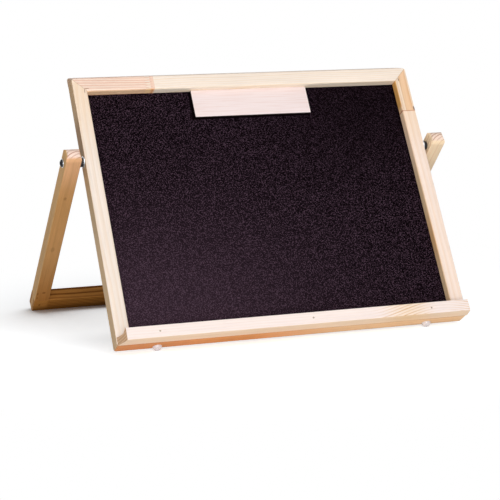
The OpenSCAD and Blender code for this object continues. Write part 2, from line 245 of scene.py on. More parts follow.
class Shader:
    """A node tree in the making: of a material, or of the world."""

    def __init__(self, tree: bpy.types.NodeTree) -> None:
        """Empties the tree and starts to fill it."""
        self.tree = tree
        tree.nodes.clear()

    def node(
        self,
        kind: str,
        settings: dict[str, object] | None = None,
        sockets: dict[int | str, Value] | None = None,
        output: int | str = 0,
    ) -> Sock:
        """Adds one node.

        Args:
            kind: The node's type.
            settings: Its properties, which are set first.
            sockets: Values or links of its input sockets, by index, identifier or name.
            output: The output socket to return, by index, identifier or name.

        Returns:
            That output.
        """
        node = self.tree.nodes.new(kind)
        for key, setting in (settings or {}).items():
            setattr(node, key, setting)
        for key, value in (sockets or {}).items():
            socket = self._find(node.inputs, key)
            if isinstance(value, Sock):
                self.tree.links.new(value.socket, socket)
            else:
                socket.default_value = value
        return Sock(self, self._find(node.outputs, output)) if len(node.outputs) else None

    @staticmethod
    def _find(sockets: Iterable[bpy.types.NodeSocket], key: int | str) -> bpy.types.NodeSocket:
        """Finds a socket.

        Args:
            sockets: A node's inputs or outputs.
            key: The socket's index, identifier or name.

        Returns:
            The socket.
        """
        if isinstance(key, str):
            for socket in sockets:
                if socket.identifier == key:
                    return socket
        return sockets[key]

    def place(self) -> Sock:
        """Gives the place on the surface at rest, in metres."""
        return self.node("ShaderNodeTexCoord", output="Object")

    def facing(self) -> Sock:
        """Gives the surface's own direction at rest."""
        return self.node("ShaderNodeTexCoord", output="Normal")

    def triple(self, x: Value, y: Value, z: Value) -> Sock:
        """Joins three numbers into a vector."""
        return self.node("ShaderNodeCombineXYZ", sockets={0: x, 1: y, 2: z})

    def noise(self, at: Sock, scale: float = 1.0, detail: float = 2.0, rough: float = 0.5) -> Sock:
        """Adds a cloudy noise.

        Args:
            at: Where it is read.
            scale: How many clouds there are to a unit.
            detail: How many finer layers it has.
            rough: How strong the finer layers are.

        Returns:
            A number from 0 to 1, about 0.5 on average.
        """
        sockets = {"Vector": at, "Scale": scale, "Detail": detail, "Roughness": rough}
        return self.node("ShaderNodeTexNoise", sockets=sockets)

    def chance(self, at: Sock) -> Sock:
        """Gives a different number from 0 to 1 for each whole number."""
        return self.node("ShaderNodeTexWhiteNoise", {"noise_dimensions": "1D"}, {"W": at}, "Value")

    def mix(self, share: Value, first: Value, second: Value, blend: str = "MIX") -> Sock:
        """Mixes two colours.

        Args:
            share: The second colour's share.
            first: The colour at a share of 0.
            second: The colour at a share of 1.
            blend: The way of mixing.

        Returns:
            The mixed colour.
        """
        settings = {"data_type": "RGBA", "blend_type": blend, "clamp_factor": True}
        sockets = {"Factor_Float": share, "A_Color": first, "B_Color": second}
        return self.node("ShaderNodeMix", settings, sockets, "Result_Color")

    def shade(self, colour: Sock, by: Value) -> Sock:
        """Makes a colour lighter or darker.

        Args:
            colour: The colour.
            by: What it is multiplied by.

        Returns:
            The new colour.
        """
        sockets = {0: colour, "Scale": by}
        return self.node("ShaderNodeVectorMath", {"operation": "SCALE"}, sockets, "Vector")

    def bump(self, height: Sock, depth: float, strength: float = 1.0) -> Sock:
        """Turns heights into a relief.

        Args:
            height: The height over the surface, from 0 to 1.
            depth: The relief's depth in metres.
            strength: How much of it shows.

        Returns:
            The surface direction.
        """
        sockets = {"Strength": strength, "Distance": depth, "Height": height}
        return self.node("ShaderNodeBump", sockets=sockets)


def new_finish(name: str) -> tuple[bpy.types.Material, Shader]:
    """Starts a material.

    Args:
        name: The finish's name.

    Returns:
        The material and its shader.
    """
    material = bpy.data.materials.new(name)
    material.use_nodes = True
    return material, Shader(material.node_tree)


def close_finish(shader: Shader, **sockets: Value) -> None:
    """Ends a material in one surface shader.

    Args:
        shader: The material's shader.
        **sockets: The surface's sockets, with an underscore for each space.
    """
    named = {key.replace("_", " "): value for key, value in sockets.items()}
    surface = shader.node("ShaderNodeBsdfPrincipled", sockets=named)
    shader.node("ShaderNodeOutputMaterial", sockets={"Surface": surface})


# ---- Timber ----


@dataclass(frozen=True)
class Grain:
    """Where a piece of timber lies: an origin and three directions, the first along the grain."""

    origin: Vector
    along: Vector
    across: Vector
    out: Vector


@dataclass(frozen=True)
class Reading:
    """A grain's coordinates over the surface, in millimetres, and how the surface faces."""

    along: Sock
    across: Sock
    out: Sock
    facing: tuple[Sock, Sock, Sock]

    @classmethod
    def of(cls, shader: Shader, grain: Grain) -> "Reading":
        """Reads a grain in a shader.

        Args:
            shader: The shader.
            grain: The grain.

        Returns:
            The coordinates.
        """
        place, facing = shader.place(), shader.facing()
        ways = (grain.along, grain.across, grain.out)
        parts = [place.along(way * MM) - grain.origin.dot(way) * MM for way in ways]
        return cls(*parts, tuple(facing.along(way) for way in ways))

    def axis(self, axis: Axis) -> Sock:
        """Gives one of the three coordinates."""
        return (self.along, self.across, self.out)[axis.value]

    def on(self, face: StockFace | None) -> Value:
        """Is 1 on one face of the stock.

        Args:
            face: The face, or None for the whole piece.

        Returns:
            A number from 0 to 1.
        """
        if face is None:
            return 1.0
        axis, side = face
        return (self.facing[axis.value] * float(side)).smooth(0.45, 0.85)

    def stretched(self, shader: Shader, steps: tuple[float, float, float], seed: float) -> Sock:
        """Gives the place as a vector for a noise.

        Args:
            shader: The shader.
            steps: Millimetres to a unit, along, across and out.
            seed: Moves the noise, so that no two pieces are alike.

        Returns:
            The vector.
        """
        return shader.triple(
            self.along / steps[0] + seed, self.across / steps[1] + seed, self.out / steps[2] - seed
        )


@dataclass(frozen=True)
class Mark:
    """Something on a piece of timber that takes another tone."""

    tone: str
    strength: float

    def mask(self, shader: Shader, at: Reading) -> Sock:
        """Gives the mark's share at each place.

        Args:
            shader: The shader.
            at: The timber's coordinates.

        Returns:
            A number from 0 to 1.
        """
        raise NotImplementedError

    def lay(self, shader: Shader, at: Reading, colour: Sock, base: str) -> Sock:
        """Lays the mark over the wood.

        Args:
            shader: The shader.
            at: The timber's coordinates.
            colour: The wood's colour.
            base: The wood's own pale tone.

        Returns:
            The marked colour.
        """
        return shader.mix(self.mask(shader, at) * self.strength, colour, linear(self.tone))


@dataclass(frozen=True)
class Tint(Mark):
    """A part of the stock that takes another tone, with the grain showing through; some of these tones are painted
    light and shade.
    """

    def lay(self, shader: Shader, at: Reading, colour: Sock, base: str) -> Sock:
        """Tints the wood as its own pale tone turns to the mark's."""
        tint = [new / old for new, old in zip(linear(self.tone), linear(base))]
        return shader.mix(self.mask(shader, at) * self.strength, colour, tint, "MULTIPLY")


@dataclass(frozen=True)
class FaceShading(Tint):
    """A face of the stock in another tone: painted light and shade for the way that face looks."""

    face: StockFace

    def mask(self, shader: Shader, at: Reading) -> Sock:
        """Is 1 on that face."""
        return at.on(self.face)


@dataclass(frozen=True)
class Fade(Tint):
    """A tone that grows from one place along an axis to another, on one face or on all."""

    axis: Axis
    start: float
    end: float
    face: StockFace | None = None

    def mask(self, shader: Shader, at: Reading) -> Sock:
        """Rises from the start to the end."""
        return at.axis(self.axis).smooth(self.start, self.end) * at.on(self.face)


@dataclass(frozen=True)
class Band(Mark):
    """A band between two planes."""

    axis: Axis
    low: float
    high: float
    soft: float = 1.0

    def mask(self, shader: Shader, at: Reading) -> Sock:
        """Is 1 between the planes."""
        return at.axis(self.axis).within(self.low, self.high, self.soft)


@dataclass(frozen=True)
class Stretch(Tint):
    """A stretch of the stock that takes another tone, on one face or on all."""

    axis: Axis
    low: float
    high: float
    soft: float
    face: StockFace | None = None

    def mask(self, shader: Shader, at: Reading) -> Sock:
        """Is 1 along the stretch."""
        return at.axis(self.axis).within(self.low, self.high, self.soft) * at.on(self.face)


@dataclass(frozen=True)
class Blot(Mark):
    """A soft oval patch, such as a pin knot, a glue spot or a resin stain."""

    centre: tuple[float, float, float]
    reach: tuple[float, float, float]

    def mask(self, shader: Shader, at: Reading) -> Sock:
        """Is 1 at the patch's middle and 0 from its edge."""
        parts = [(at.axis(a) - self.centre[a.value]) / self.reach[a.value] for a in Axis]
        return (parts[0] * parts[0] + parts[1] * parts[1] + parts[2] * parts[2]).smooth(1.0, 0.2)


@dataclass(frozen=True)
class Seam(Mark):
    """A fine straight joint line through the stock, such as a mitre's."""

    through: tuple[float, float]
    turn: float
    width: float = 0.25

    def mask(self, shader: Shader, at: Reading) -> Sock:
        """Is 1 on the line.

        Args:
            shader: The shader.
            at: The timber's coordinates.

        Returns:
            A number from 0 to 1.
        """
        turn = math.radians(self.turn)
        off = self.through[0] * math.sin(turn) - self.through[1] * math.cos(turn)
        beside = abs(at.along * math.sin(turn) - at.across * math.cos(turn) - off)
        return beside.smooth(self.width * 2, 0.0)


@dataclass(frozen=True)
class FingerLine(Mark):
    """The zigzag glue line of a finger joint."""

    start: float
    length: float
    pitch: float
    phase: float
    axis: Axis = Axis.ACROSS
    width: float = 0.3

    def mask(self, shader: Shader, at: Reading) -> Sock:
        """Is 1 on the line.

        Args:
            shader: The shader.
            at: The timber's coordinates.

        Returns:
            A number from 0 to 1.
        """
        wave = abs(((at.axis(self.axis) - self.phase) / self.pitch).fract() * 2 - 1)
        off = abs(at.along - self.start - wave * self.length)
        slope = 2 * self.length / self.pitch
        return off.smooth(self.width * math.hypot(1.0, slope), 0.0)


@dataclass(frozen=True)
class Flame:
    """Where the saw met the rings almost flat, so that they bow up in flames on the front.

    The flames stand `at` a place along the grain and reach `width` to either side of it. The rings
    are shifted by `height` at the middle, and show stronger by `boost` on the flanks.
    """

    at: float
    width: float
    height: float
    boost: float


# How far the marks of growth reach along, across and out of the stock, in millimetres.
CELLS = (14.0, 0.35, 0.35)
FIBRES = (60.0, 1.3, 1.3)
PORES = (7.0, 0.28, 0.28)
CLOUDS = (110.0, 14.0, 14.0)
BENDS = (190.0, 60.0, 60.0)
RIPPLES = (22.0, 7.0, 7.0)


@dataclass(frozen=True)
class Timber:
    """A piece of planed pine: its tones, how its growth rings run, and what marks it."""

    name: str
    early: str
    late: str
    seed: float
    pitch: float = 3.2
    pith: tuple[float, float] = (34.0, -30.0)
    figure: float = 0.5
    wander: float = 5.0
    ripple: float = 0.25
    fibre: float = 0.10
    drift: float = 0.08
    onset: float = 0.2
    gloss: float = 0.35
    end_early: str = "DDB58F"
    end_late: str = "A8764A"
    roughness: float = 0.6
    relief: float = 0.00012
    flame: Flame | None = None
    marks: tuple[Mark, ...] = ()

    def dress(self, grain: Grain) -> bpy.types.Material:
        """Builds the finish.

        Args:
            grain: Where the piece lies.

        Returns:
            The material.
        """
        material, shader = new_finish(self.name)
        at = Reading.of(shader, grain)
        late = self._summer_wood(shader, at)
        cells = shader.noise(at.stretched(shader, CELLS, self.seed), detail=3.0, rough=0.6)
        fibre = shader.noise(at.stretched(shader, FIBRES, self.seed + 3), detail=3.0, rough=0.55)
        cloud = shader.noise(at.stretched(shader, CLOUDS, self.seed + 7), detail=2.0)
        end = abs(at.facing[0]).smooth(0.55, 0.85)
        pale = shader.mix(end, linear(self.early), linear(self.end_early))
        dark = shader.mix(end, linear(self.late), linear(self.end_late))
        colour = shader.mix(late * (end * (1 - self.figure) + self.figure), pale, dark)
        for mark in self.marks:
            colour = mark.lay(shader, at, colour, self.early)
        streaks = (fibre - 0.5) * (-2.2 * self.fibre) + (cells - 0.5) * (-1.2 * self.fibre)
        tone = 1 + (cloud - 0.5) * (2 * self.drift) + streaks
        pores = shader.noise(at.stretched(shader, PORES, self.seed + 11), detail=1.0)
        tone = tone * (1 - pores.smooth(0.66, 0.8) * (1.2 * self.fibre))
        height = late * 0.35 + cells * 0.45 + fibre * 0.2
        close_finish(
            shader,
            Base_Color=shader.shade(colour, tone),
            Roughness=(fibre - 0.5) * 0.16 + late * -0.07 + self.roughness,
            Normal=shader.bump(height, self.relief, 0.5),
            Specular_IOR_Level=self.gloss,
        )
        return material

    def _summer_wood(self, shader: Shader, at: Reading) -> Sock:
        """Works out how much dark summer wood shows.

        Args:
            shader: The shader.
            at: The timber's coordinates.

        Returns:
            A number from 0, pale spring wood, to 1.
        """
        slow = shader.noise(at.stretched(shader, BENDS, self.seed + 5), detail=1.0) - 0.5
        quick = shader.noise(at.stretched(shader, RIPPLES, self.seed + 9), detail=2.0) - 0.5
        across = at.across - self.pith[0] + slow * (2 * self.wander)
        strength: Value = 1.0
        if self.flame:
            beside = abs((at.along - self.flame.at) / self.flame.width)
            near = beside.smooth(1.0, 0.0) * at.facing[2].smooth(0.2, 0.7)
            across = across + near * self.flame.height
            strength = near * (1 - near) * (4 * self.flame.boost) + 1
        out = at.out - self.pith[1] + slow * self.wander
        ring = ((across * across + out * out).root() + quick * (2 * self.ripple)) / self.pitch
        phase = ring.fract()
        dark = phase.smooth(self.onset, 0.86) * phase.smooth(1.0, 0.9)
        uneven = shader.chance(ring.floor() + self.seed) * 0.55 + 0.45
        return dark * uneven * strength


# ---- Other finishes ----


@dataclass(frozen=True)
class Chalkboard:
    """Hardboard with rough chalkboard paint on its face and bare, screen-pressed fibre behind."""

    name: str = "chalkboard_paint"
    dark: str = "060204"
    light: str = "816478"
    back: str = "6B4A31"
    back_light: str = "8A6444"
    lump_size: float = 2.8
    grain_size: float = 1.15
    grain_edge: tuple[float, float] = (0.54, 0.68)
    grain_share: float = 0.31
    # The next two shares set a painted sheen at the lower left and a painted shade at the upper right.
    painted_sheen_share: float = 0.125
    upper_right_shade_share: float = 0.6
    weave: float = 1.4
    relief: float = 0.00025
    sheen: tuple[float, float, float, float] = (1.0, 0.72, 0.9, 1.0)

    def dress(self, grain: Grain, plaque: tuple[float, float, float]) -> bpy.types.Material:
        """Builds the finish.

        Args:
            grain: Where the panel lies.
            plaque: The left, right and lower edge of the plaque, in millimetres.

        Returns:
            The material.
        """
        material, shader = new_finish(self.name)
        at = Reading.of(shader, grain)
        # bare is 0 under the plaque and in a band along its left and lower edges: the plaque's painted shadow,
        # where the paint is black.
        bare = 1 - self._plaque_shadow(at, plaque)
        lumps = shader.noise(at.stretched(shader, (self.lump_size,) * 3, 2.0), detail=0.0)
        grains = shader.noise(at.stretched(shader, (self.grain_size,) * 3, 5.0), detail=0.0)
        grit = lumps * 0.1 + grains * 0.9
        # The first is a painted sheen, a pale haze rising to the lower left; the second is painted shade that dims
        # the specks at the upper right.
        dust, upper_right_shade = self._painted_sheen(at), self._upper_right_shade(at)
        speck = grit.smooth(*self.grain_edge) * self.grain_share * (1 - upper_right_shade)
        tone = (speck + dust * dust * self.painted_sheen_share) * bare
        face = shader.mix(tone, linear(self.dark), linear(self.light))
        screen = self._screen(at)
        fibre = shader.noise(at.stretched(shader, (3.0, 3.0, 3.0), 8.0), detail=3.0, rough=0.7)
        pressed = fibre.smooth(0.35, 0.65) * 0.7 + screen * 0.3
        back = shader.mix(pressed, linear(self.back), linear(self.back_light))
        behind = at.facing[2].smooth(-0.3, -0.7)
        close_finish(
            shader,
            Base_Color=shader.mix(behind, face, back),
            Roughness=0.38 + behind * 0.3,
            Normal=shader.bump(grit * (1 - behind) + screen * behind, self.relief, 0.6),
            Specular_IOR_Level=0.008,
            Specular_Tint=self.sheen,
        )
        return material

    @staticmethod
    def _plaque_shadow(at: Reading, plaque: tuple[float, float, float]) -> Sock:
        """Is 1 under the plaque and in a band along its left and lower edges: the plaque's painted shadow.

        Args:
            at: The panel's coordinates.
            plaque: The left, right and lower edge of the plaque, in millimetres.

        Returns:
            A number from 0 to 1.
        """
        left, right, foot = plaque
        above = at.across.smooth(foot - 3.0, foot - 2.2)
        return at.along.within(left - 3.8, right + 0.2, 0.6) * above

    @staticmethod
    def _painted_sheen(at: Reading) -> Sock:
        """Gives a painted sheen, drawn as a pale haze, from 0 to 1. It is strongest at the lower left."""
        downward_rise = at.across.smooth(370.0, -10.0) * 0.93 + 0.1
        return downward_rise * (at.along.smooth(300.0, -200.0) * 0.92 + 0.1)

    def _upper_right_shade(self, at: Reading) -> Sock:
        """Says how much the paint's grain is darkened at the upper right, from 0 to 1: painted shade where the
        sheen fades.
        """
        return at.along.smooth(-60.0, 160.0) * at.across.smooth(150.0, 360.0) * self.upper_right_shade_share

    def _screen(self, at: Reading) -> Sock:
        """Gives the square weave that the press leaves on the back, from 0 to 1."""
        ribs = [abs((way / self.weave).fract() * 2 - 1) for way in (at.along, at.across)]
        return ribs[0].most(ribs[1])


@dataclass(frozen=True)
class Plywood:
    """Sanded birch plywood whose edges a laser has charred."""

    name: str = "birch_plywood"
    face: str = "F4E4E2"
    streak: str = "E9CEC6"
    char: str = "0C0403"
    ply: str = "2A150B"
    plies: int = 3
    relief: float = 0.00006

    def dress(self, grain: Grain, thickness: float) -> bpy.types.Material:
        """Builds the finish.

        Args:
            grain: Where the sheet lies, with its origin on the sheet's back.
            thickness: The sheet's thickness in millimetres.

        Returns:
            The material.
        """
        material, shader = new_finish(self.name)
        at = Reading.of(shader, grain)
        long = shader.noise(at.stretched(shader, (55.0, 1.6, 1.6), 4.0), detail=3.0, rough=0.6)
        fine = shader.noise(at.stretched(shader, (9.0, 0.4, 0.4), 6.0), detail=2.0)
        streaks = long.smooth(0.42, 0.72) * 0.55 + fine * 0.12
        sheet = shader.mix(streaks, linear(self.face), linear(self.streak))
        layer = (at.out / (thickness / self.plies)).fract().within(0.1, 0.9, 0.06)
        soot = shader.noise(at.stretched(shader, (2.0, 2.0, 1.0), 9.0), detail=2.0)
        edge = shader.mix(layer * soot.smooth(0.35, 0.7), linear(self.char), linear(self.ply))
        side = abs(at.facing[2]).smooth(0.8, 0.55)
        close_finish(
            shader,
            Base_Color=shader.mix(side, sheet, edge),
            Roughness=0.55 + side * 0.3,
            Normal=shader.bump(long * 0.6 + fine * 0.4, self.relief, 0.4),
            Specular_IOR_Level=0.3,
        )
        return material


@dataclass(frozen=True)
class Metal:
    """A metal, turned or pressed, with a faint cloud and fine tool marks."""

    name: str
    tone: str
    dull: str
    roughness: float
    metallic: float = 1.0
    lines: float = 0.25
    clouds_per_metre: float = 420.0
    lines_per_metre: float = 9000.0
    breaks_per_metre: float = 900.0
    relief: float = 0.00003

    def dress(self, axis: Vector) -> bpy.types.Material:
        """Builds the finish.

        Args:
            axis: The direction that the tool marks run round.

        Returns:
            The material.
        """
        material, shader = new_finish(self.name)
        place = shader.place()
        cloud = shader.noise(place, scale=self.clouds_per_metre, detail=3.0)
        side = axis.orthogonal().normalized()
        other = axis.cross(side)
        rates = (self.lines_per_metre, self.breaks_per_metre, self.breaks_per_metre)
        steps = [place.along(way * rate) for way, rate in zip((axis, side, other), rates)]
        mark = shader.noise(shader.triple(*steps), detail=2.0)
        colour = shader.mix(cloud.smooth(0.4, 0.75), linear(self.tone), linear(self.dull))
        close_finish(
            shader,
            Base_Color=colour,
            Metallic=self.metallic,
            Roughness=(cloud - 0.5) * 0.2 + (mark - 0.5) * self.lines * 0.4 + self.roughness,
            Normal=shader.bump(mark, self.relief, self.lines),
        )
        return material


@dataclass(frozen=True)
class Rubber:
    """A soft black friction ring, dusty from the wood beside it."""

    name: str = "black_rubber"
    tone: str = "232125"
    dust: str = "4A4340"
    clouds_per_metre: float = 700.0
    grit_per_metre: float = 4200.0
    relief: float = 0.00004

    def dress(self) -> bpy.types.Material:
        """Builds the finish.

        Returns:
            The material.
        """
        material, shader = new_finish(self.name)
        cloud = shader.noise(shader.place(), scale=self.clouds_per_metre, detail=3.0)
        grit = shader.noise(shader.place(), scale=self.grit_per_metre, detail=1.0)
        dusty = cloud.smooth(0.5, 0.8) * 0.5
        close_finish(
            shader,
            Base_Color=shader.mix(dusty, linear(self.tone), linear(self.dust)),
            Roughness=0.55 + cloud * 0.25,
            Normal=shader.bump(grit, self.relief, 0.5),
            Specular_IOR_Level=0.4,
        )
        return material


@dataclass(frozen=True)
class ClearRubber:
    """A clear, glossy, faintly milky bumper."""

    name: str = "clear_rubber"
    tone: str = "FFFCFF"
    haze: str = "EEEAF2"
    clouds_per_metre: float = 260.0
    clearness: float = 0.18
    relief: float = 0.0001

    def dress(self) -> bpy.types.Material:
        """Builds the finish.

        Returns:
            The material.
        """
        material, shader = new_finish(self.name)
        cloud = shader.noise(shader.place(), scale=self.clouds_per_metre, detail=2.0)
        close_finish(
            shader,
            Base_Color=shader.mix(cloud, linear(self.tone), linear(self.haze)),
            Roughness=0.06 + cloud * 0.06,
            Normal=shader.bump(cloud, self.relief, 0.2),
            IOR=1.46,
            Transmission_Weight=self.clearness,
        )
        return material


# ---- Building ----


def dress_node(name: str, material: bpy.types.Material) -> None:
    """Gives a CAD node its finish.

    Args:
        name: The node's name.
        material: The finish.
    """
    slots = frame["nodes"][name].data.materials
    slots.clear()
    slots.append(material)
    log.info("%s keeps its solid and is finished in %s", name, material.name)


def islands(name: str, gap: float = 0.02) -> list[list[Vector]]:
    """Sorts a CAD node's points into its separate pieces along the easel.

    Args:
        name: The node's name.
        gap: The least distance between two pieces.

    Returns:
        The points of each piece, from left to right.
    """
    found: list[list[Vector]] = []
    points = (v.co.copy() for v in frame["nodes"][name].data.vertices)
    for point in sorted(points, key=lambda p: p.x):
        if not found or point.x - found[-1][-1].x > gap:
            found.append([])
        found[-1].append(point)
    return found


def span(points: Iterable[Vector], direction: Vector) -> tuple[float, float]:
    """Measures points along a direction.

    Args:
        points: The points.
        direction: The direction.

    Returns:
        The least and the greatest measure.
    """
    reach = [p.dot(direction) for p in points]
    return min(reach), max(reach)


@dataclass(frozen=True)
class Corner:
    """A corner of a turned section: its radius from the axis, its height and its rounding."""

    radius: float
    height: float
    ease: float = 0.0


@dataclass
class Lathe:
    """Turns sections round an axis into one mesh."""

    name: str
    segments: int = 48
    steps: int = 4
    thinnest: float = 1e-7
    mesh: bmesh.types.BMesh = field(default_factory=bmesh.new)

    def outline(self, corners: Sequence[Corner], closed: bool) -> list[tuple[float, float]]:
        """Rounds a section's corners.

        Args:
            corners: The section's corners.
            closed: Whether the last corner joins the first.

        Returns:
            The section's points, as radius and height.
        """
        points: list[tuple[float, float]] = []
        count = len(corners)
        for i, corner in enumerate(corners):
            here = Vector((corner.radius, corner.height))
            if not corner.ease or not closed and i in (0, count - 1):
                points.append(tuple(here))
                continue
            last, following = corners[i - 1], corners[(i + 1) % count]
            before = Vector((last.radius, last.height)) - here
            after = Vector((following.radius, following.height)) - here
            start = here + before.normalized() * min(corner.ease, before.length / 2)
            end = here + after.normalized() * min(corner.ease, after.length / 2)
            for k in range(self.steps + 1):
                t = k / self.steps
                points.append(tuple(start.lerp(here, t).lerp(here.lerp(end, t), t)))
        return points

    def ring(
        self,
        radius: float,
        height: float,
        base: Vector,
        way: Vector,
        flat: int = 0,
        turn: float = 0.0,
    ) -> list[bmesh.types.BMVert]:
        """Adds one ring of points.

        Args:
            radius: The ring's radius, or its corners' where it is flat-sided.
            height: Its height over the base.
            base: The base point of the axis.
            way: The axis.
            flat: The number of flat sides, or 0 for a round ring.
            turn: Where the first side starts, as an angle.

        Returns:
            The ring's points, or a single point on the axis.
        """
        centre = base + way * height
        if radius < self.thinnest:
            return [self.mesh.verts.new(centre)]
        first = way.orthogonal().normalized()
        second = way.cross(first)
        points = []
        for k in range(self.segments):
            angle = 2 * math.pi * k / self.segments
            reach = radius
            if flat:
                step = 2 * math.pi / flat
                off = (angle - turn) % step - step / 2
                reach = radius * math.cos(step / 2) / math.cos(off)
            way_out = first * math.cos(angle) + second * math.sin(angle)
            points.append(self.mesh.verts.new(centre + way_out * reach))
        return points

    def join(self, rings: Sequence[list[bmesh.types.BMVert]], closed: bool = False) -> None:
        """Lays faces between rings.

        Args:
            rings: The rings in order.
            closed: Whether the last ring joins the first.
        """
        pairs = list(zip(rings, rings[1:])) + ([(rings[-1], rings[0])] if closed else [])
        for low, high in pairs:
            count = max(len(low), len(high))
            for k in range(count):
                after = (k + 1) % count
                places = ((low, k), (low, after), (high, after), (high, k))
                corners = [ring[i % len(ring)] for ring, i in places]
                kept = [c for i, c in enumerate(corners) if c not in corners[:i]]
                if len(kept) > 2:
                    self.mesh.faces.new(kept)

    def turned(
        self, corners: Sequence[Corner], base: Vector, way: Vector, closed: bool = False
    ) -> None:
        """Turns one section.

        Args:
            corners: The section's corners.
            base: The point of the axis at height 0.
            way: The axis.
            closed: Whether the section is a ring with a bore.
        """
        outline = self.outline(corners, closed)
        self.join([self.ring(radius, height, base, way) for radius, height in outline], closed)

    def finish(self, material: bpy.types.Material, crease: float = 35.0) -> bpy.types.Object:
        """Makes the object.

        Args:
            material: Its finish.
            crease: The angle in degrees from which an edge stays sharp.

        Returns:
            The object.
        """
        bmesh.ops.recalc_face_normals(self.mesh, faces=self.mesh.faces)
        return to_object(self.name, self.mesh, material, crease)


def to_object(
    name: str, mesh: bmesh.types.BMesh, material: bpy.types.Material, crease: float
) -> bpy.types.Object:
    """Turns an edited mesh into an object of the scene.

    Args:
        name: The object's name.
        mesh: The edited mesh, which is freed.
        material: The object's finish.
        crease: The angle in degrees from which an edge stays sharp.

    Returns:
        The object.
    """
    data = bpy.data.meshes.new(name)
    mesh.to_mesh(data)
    mesh.free()
    data.materials.append(material)
    data.shade_smooth()
    data.set_sharp_from_angle(angle=math.radians(crease))
    piece = bpy.data.objects.new(name, data)
    bpy.context.scene.collection.objects.link(piece)
    return piece


def mount(piece: bpy.types.Object, body: str, slot: Slot, *nodes: str) -> None:
    """Sets a new piece on its body in place of CAD nodes.

    Args:
        piece: The piece.
        body: The body that it rides on.
        slot: The record's slot for its finish; not used.
        *nodes: The nodes that it stands for.
    """
    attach(piece, body)
    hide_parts(*nodes)
    faces = len(piece.data.polygons)
    log.info("%s stands for %s, with %d faces", piece.name, ", ".join(nodes), faces)


@dataclass(frozen=True)
class Datum:
    """The axes of the board or the stand: X, the way up and the way forward, from an origin."""

    origin: Vector
    up: Vector
    front: Vector

    @classmethod
    def of_board(cls) -> "Datum":
        """Takes the axes from the record's flat back and the bottom rail.

        Returns:
            The board's axes.
        """
        mounts = {m["name"]: m for m in frame["record"]["mounts"]}
        front = -Vector(mounts["back_face"]["axis"]).normalized()
        up = front.cross(X_AXIS).normalized()
        points = [v.co for v in frame["nodes"]["bottom_rail"].data.vertices]
        return cls(up * span(points, up)[0] + front * span(points, front)[0], up, front)

    @classmethod
    def of_stand(cls) -> "Datum":
        """Takes the axes from the stand's joint and the back of its cross bar.

        Returns:
            The stand's axes.
        """
        pivot = Vector(frame["joints"][0]["pos_m"])
        faces = frame["nodes"]["cross_bar"].data.polygons
        back = max(faces, key=lambda f: f.area * (min(f.normal.y, f.normal.z) > 0.5))
        front = -back.normal.copy().normalized()
        return cls(pivot, front.cross(X_AXIS).normalized(), front)

    def crosswise(self) -> Grain:
        """Gives the grain of a piece that runs along the easel."""
        return Grain(self.origin, X_AXIS, self.up, self.front)

    def upright(self) -> Grain:
        """Gives the grain of a piece that runs up it."""
        return Grain(self.origin, self.up, X_AXIS, self.front)

    def at(self, x: float, up: float, front: float) -> Vector:
        """Finds a place from its metres along, up and forward."""
        return self.origin + X_AXIS * x + self.up * up + self.front * front


@dataclass(frozen=True)
class Spot:
    """Where a round piece sits on the board, and how large it is."""

    x: float
    radius: float
    off: list[Vector]

    @classmethod
    def of(cls, points: Sequence[Vector], datum: Datum) -> "Spot":
        """Measures a round piece.

        Args:
            points: The piece's points.
            datum: The board's axes.

        Returns:
            The middle and radius along X, and the points as seen from the axes' origin.
        """
        low, high = span(points, X_AXIS)
        return cls((low + high) / 2, (high - low) / 2, [p - datum.origin for p in points])


# ---- The easel's parts ----


